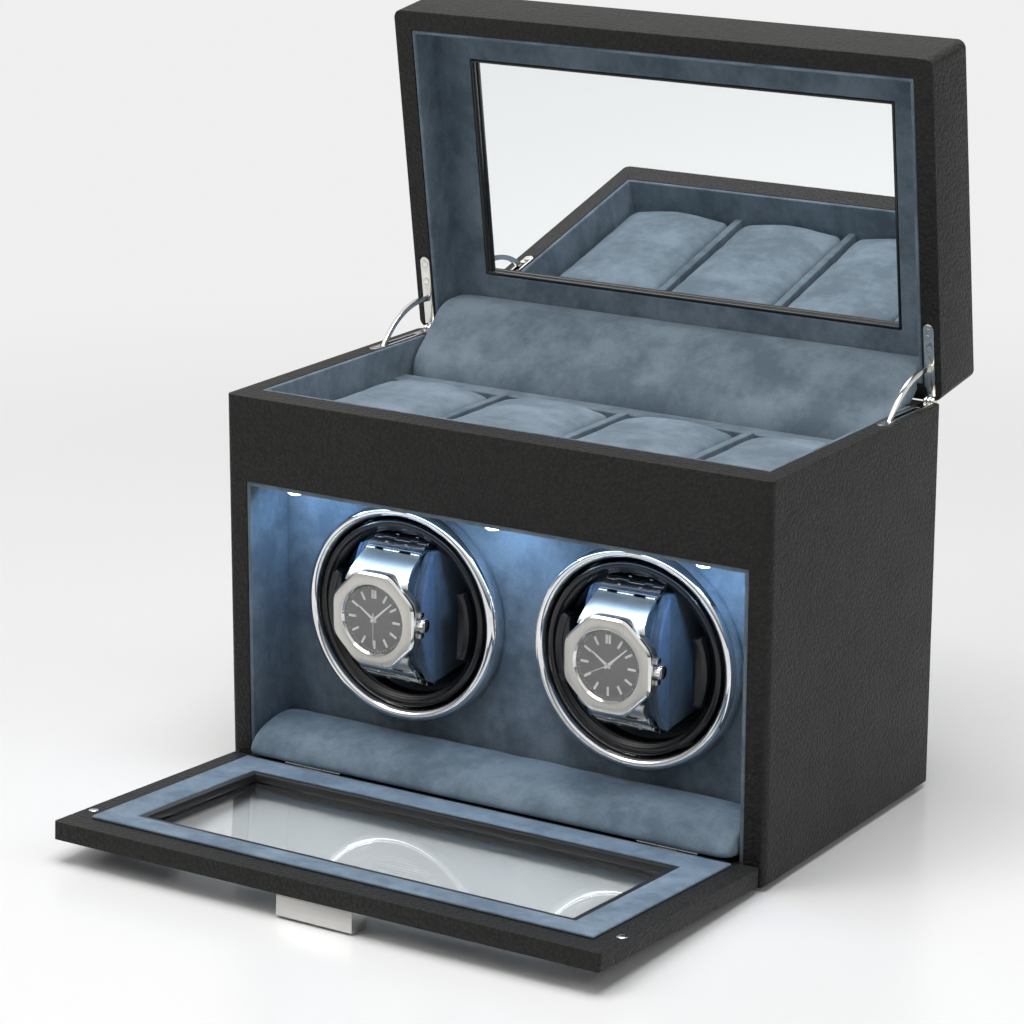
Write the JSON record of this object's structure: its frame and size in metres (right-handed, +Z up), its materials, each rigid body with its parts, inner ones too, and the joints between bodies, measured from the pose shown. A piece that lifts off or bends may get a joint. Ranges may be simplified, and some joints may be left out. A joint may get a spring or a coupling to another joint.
{
  "type": "watch winder box",
  "caption": "Leather-covered watch winder box with an open mirror lid over a cushioned tray, and a drop-down window door over two motorised winder cups.",
  "frame": {"origin": "middle of the felt underside, on the table", "axes": "+X to the right seen from the front, +Y from the front door to the back, +Z up"},
  "size_m": [0.276, 0.3211, 0.3385],
  "materials": {
    "leather": "fine pebbled, semi-matt",
    "bay_suede": "short suede nap",
    "suede": "short suede nap",
    "cushion_suede": "short suede nap over soft foam",
    "wood": "raw board",
    "black_board": "black lacquer",
    "felt": "felt",
    "black_plastic": "moulded, fine grain",
    "gloss_black": "high gloss",
    "screw_steel": "zinc plated",
    "nickel": "polished nickel",
    "brushed_metal": "brushed across the width",
    "chrome": "mirror polish",
    "mirror": "silvered glass",
    "glass": "clear float glass",
    "lamp": "frosted lens",
    "bronze": "sintered bronze",
    "motor": "drawn steel can",
    "board": "solder mask",
    "gear": "moulded acetal",
    "watch_steel": "brushed with polished edges",
    "dial": "fine-ribbed dark grey with pale markers"
  },
  "bodies": {
    "case": {"case_shell": "leather", "shelf": "wood", "base_board": "black_board", "base_felt": "felt", "back_cover": "black_plastic", "back_cover_screws": "screw_steel", "bay_lining": "bay_suede", "bay_panel": "bay_suede", "bay_floor_pad": "bay_suede", "led_strip": "lamp", "tray_lining": "suede", "tray_grid": "suede", "rear_flap_pad": "suede", "motor_plate": "screw_steel", "bearing_bushes": "bronze", "gear_motors": "motor", "control_board": "board", "dc_socket": "black_plastic", "keeper_magnets": "screw_steel", "hinge_case_leaf_left": "nickel", "hinge_case_leaf_right": "nickel", "door_hinge_case_leaves": "nickel"},
    "lid": {"lid_shell": "leather", "lid_lining": "suede", "mirror_frame": "gloss_black", "mirror": "mirror", "hinge_lid_leaf_left": "nickel", "hinge_lid_leaf_right": "nickel"},
    "door": {"door_shell": "leather", "door_suede_panel": "suede", "window_frame": "black_plastic", "door_glass": "glass", "door_handle": "brushed_metal", "door_magnet_pins": "nickel", "door_hinge_door_leaves": "nickel"},
    "rotor_left": {"chrome_ring_left": "chrome", "rotor_cup_left": "gloss_black", "cup_lining_left": "suede", "drive_gear_left": "gear"},
    "pinion_left": {"motor_pinion_left": "gear"},
    "holder_left": {"pillow_left": "cushion_suede", "pillow_cradle_left": "gloss_black", "watch_left": "watch_steel", "watch_dial_left": "dial"},
    "rotor_right": {"chrome_ring_right": "chrome", "rotor_cup_right": "gloss_black", "cup_lining_right": "suede", "drive_gear_right": "gear"},
    "pinion_right": {"motor_pinion_right": "gear"},
    "holder_right": {"pillow_right": "cushion_suede", "pillow_cradle_right": "gloss_black", "watch_right": "watch_steel", "watch_dial_right": "dial"},
    "cushion_1": {"cushion_1": "cushion_suede"},
    "cushion_2": {"cushion_2": "cushion_suede"},
    "cushion_3": {"cushion_3": "cushion_suede"},
    "cushion_4": {"cushion_4": "cushion_suede"},
    "switch": {"power_switch": "black_plastic"},
    "knob": {"mode_knob": "black_plastic"}
  },
  "joints": [
    {"name": "lid_hinge", "type": "hinge", "parent": "case", "child": "lid", "pos_m": [0, 0.0783, 0.17915], "axis": [-1, 0, 0], "range_deg": [-82.1, 0]},
    {"name": "door_hinge", "type": "hinge", "parent": "case", "child": "door", "pos_m": [0, -0.0783, 0.0112], "axis": [1, 0, 0], "range_deg": [-86.8, 0]},
    {"name": "left_winder_spin", "type": "hinge", "parent": "case", "child": "rotor_left", "pos_m": [-0.06, 0, 0.0835], "axis": [0, 1, 0], "continuous": true},
    {"name": "left_pinion_spin", "type": "hinge", "parent": "case", "child": "pinion_left", "pos_m": [-0.06, 0.01, 0.05538], "axis": [0, 1, 0], "continuous": true},
    {"name": "left_pillow_pull", "type": "slide", "parent": "rotor_left", "child": "holder_left", "axis": [0, -1, 0], "range_m": [0, 0.06]},
    {"name": "right_winder_spin", "type": "hinge", "parent": "case", "child": "rotor_right", "pos_m": [0.06, 0, 0.0835], "axis": [0, 1, 0], "continuous": true},
    {"name": "right_pinion_spin", "type": "hinge", "parent": "case", "child": "pinion_right", "pos_m": [0.06, 0.01, 0.05538], "axis": [0, 1, 0], "continuous": true},
    {"name": "right_pillow_pull", "type": "slide", "parent": "rotor_right", "child": "holder_right", "axis": [0, -1, 0], "range_m": [0, 0.06]},
    {"name": "cushion_1_lift", "type": "slide", "parent": "case", "child": "cushion_1", "axis": [0, 0, 1], "range_m": [0, 0.05]},
    {"name": "cushion_2_lift", "type": "slide", "parent": "case", "child": "cushion_2", "axis": [0, 0, 1], "range_m": [0, 0.05]},
    {"name": "cushion_3_lift", "type": "slide", "parent": "case", "child": "cushion_3", "axis": [0, 0, 1], "range_m": [0, 0.05]},
    {"name": "cushion_4_lift", "type": "slide", "parent": "case", "child": "cushion_4", "axis": [0, 0, 1], "range_m": [0, 0.05]},
    {"name": "switch_rock", "type": "hinge", "parent": "case", "child": "switch", "pos_m": [0.066, 0.0785, 0.04], "axis": [1, 0, 0], "range_deg": [0, 10]},
    {"name": "knob_turn", "type": "hinge", "parent": "case", "child": "knob", "pos_m": [0.038, 0.08, 0.04], "axis": [0, 1, 0], "range_deg": [-60, 60]}
  ],
  "couplings": [
    {"joint": "left_pinion_spin", "follows": "left_winder_spin", "ratio": -4},
    {"joint": "right_pinion_spin", "follows": "right_winder_spin", "ratio": -4}
  ]
}
